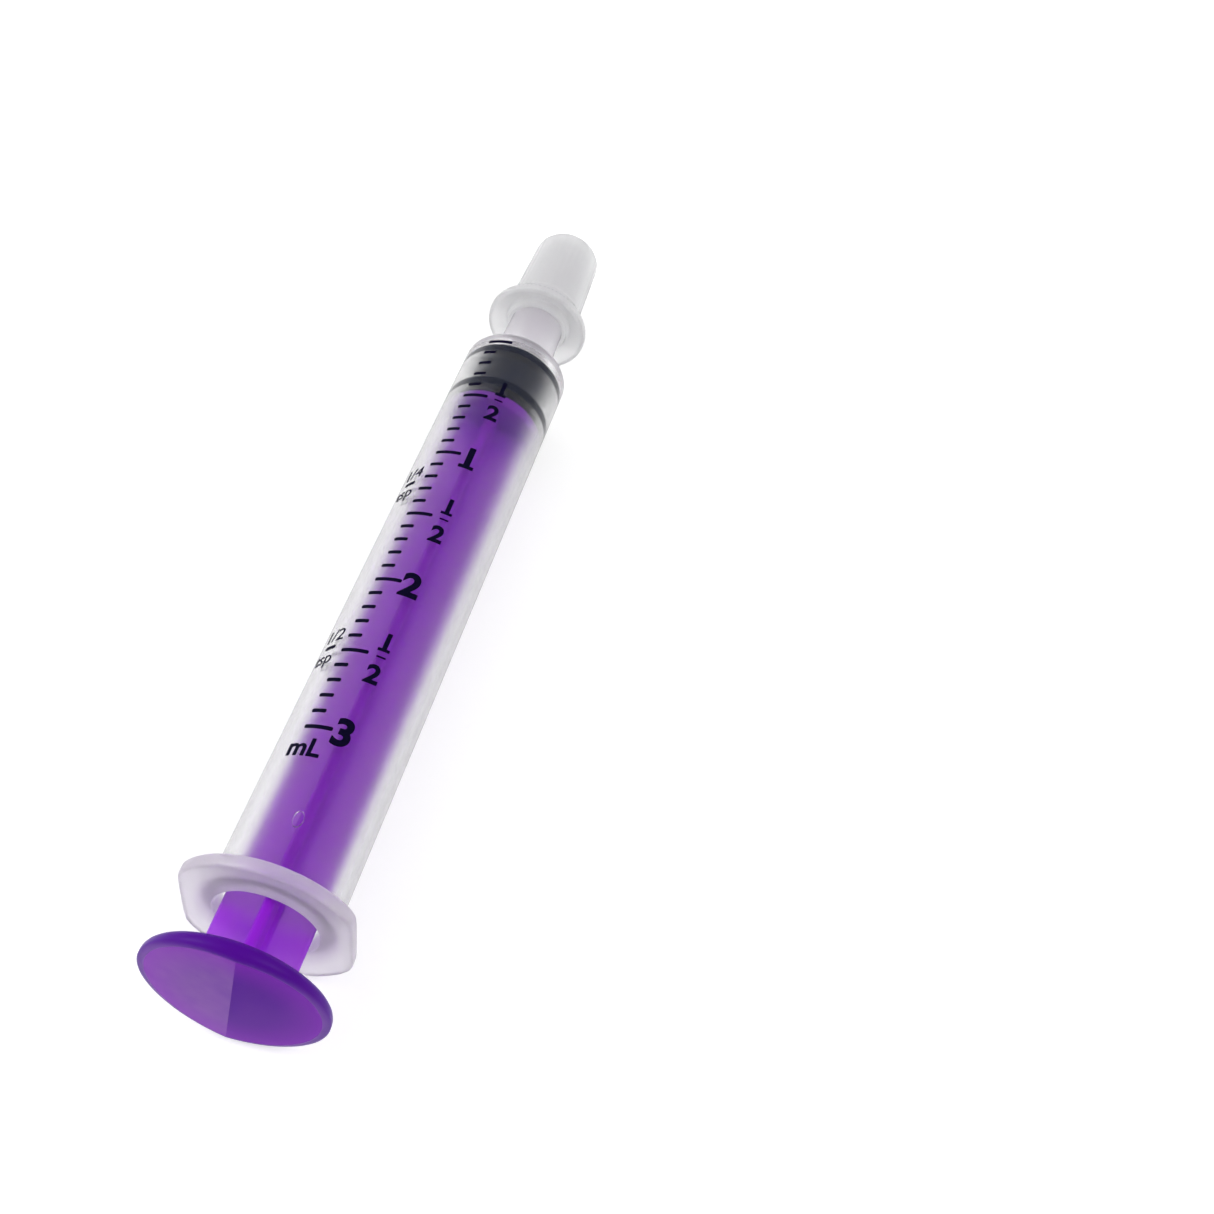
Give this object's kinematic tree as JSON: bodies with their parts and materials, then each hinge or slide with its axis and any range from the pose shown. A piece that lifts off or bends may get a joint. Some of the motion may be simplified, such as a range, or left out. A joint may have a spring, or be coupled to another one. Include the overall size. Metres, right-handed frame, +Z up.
{
  "type": "oral syringe",
  "caption": "Capped oral dosing syringe with a clear graduated barrel, a cross-ribbed plunger rod, a rubber stopper and a pull-off tip cap, lying on its side.",
  "frame": {"origin": "centre of the bounding box in X and Y, at the height of the lowest point, where the finger flange meets the surface", "axes": "+X along the barrel towards the tip cap, +Z up through the finger flange's long axis and the millilitre scale"},
  "size_m": [0.0934, 0.0154, 0.0158],
  "materials": {
    "clear_plastic": "clear, slightly hazy moulded polypropylene",
    "black_rubber": "satin blue-black rubber",
    "purple_plastic": "translucent purple moulded plastic",
    "frosted_plastic": "frosted natural polyethylene",
    "navy_ink": "printed ink"
  },
  "bodies": {
    "barrel_body": {"barrel": "clear_plastic", "ml_scale": "navy_ink", "teaspoon_scale": "navy_ink"},
    "stopper_body": {"stopper": "black_rubber"},
    "plunger_body": {"plunger_rod": "purple_plastic"},
    "cap_body": {"tip_cap": "frosted_plastic"}
  },
  "joints": [
    {"name": "plunger_slide", "type": "slide", "parent": "barrel_body", "child": "stopper_body", "axis": [-1, 0, 0], "range_m": [0, 0.0525]},
    {"name": "plunger_turn", "type": "hinge", "parent": "stopper_body", "child": "plunger_body", "pos_m": [0.01781, 0, 0.0079], "axis": [1, 0, 0], "continuous": true},
    {"name": "cap_pull", "type": "slide", "parent": "barrel_body", "child": "cap_body", "axis": [1, 0, 0], "range_m": [0, 0.02]}
  ]
}
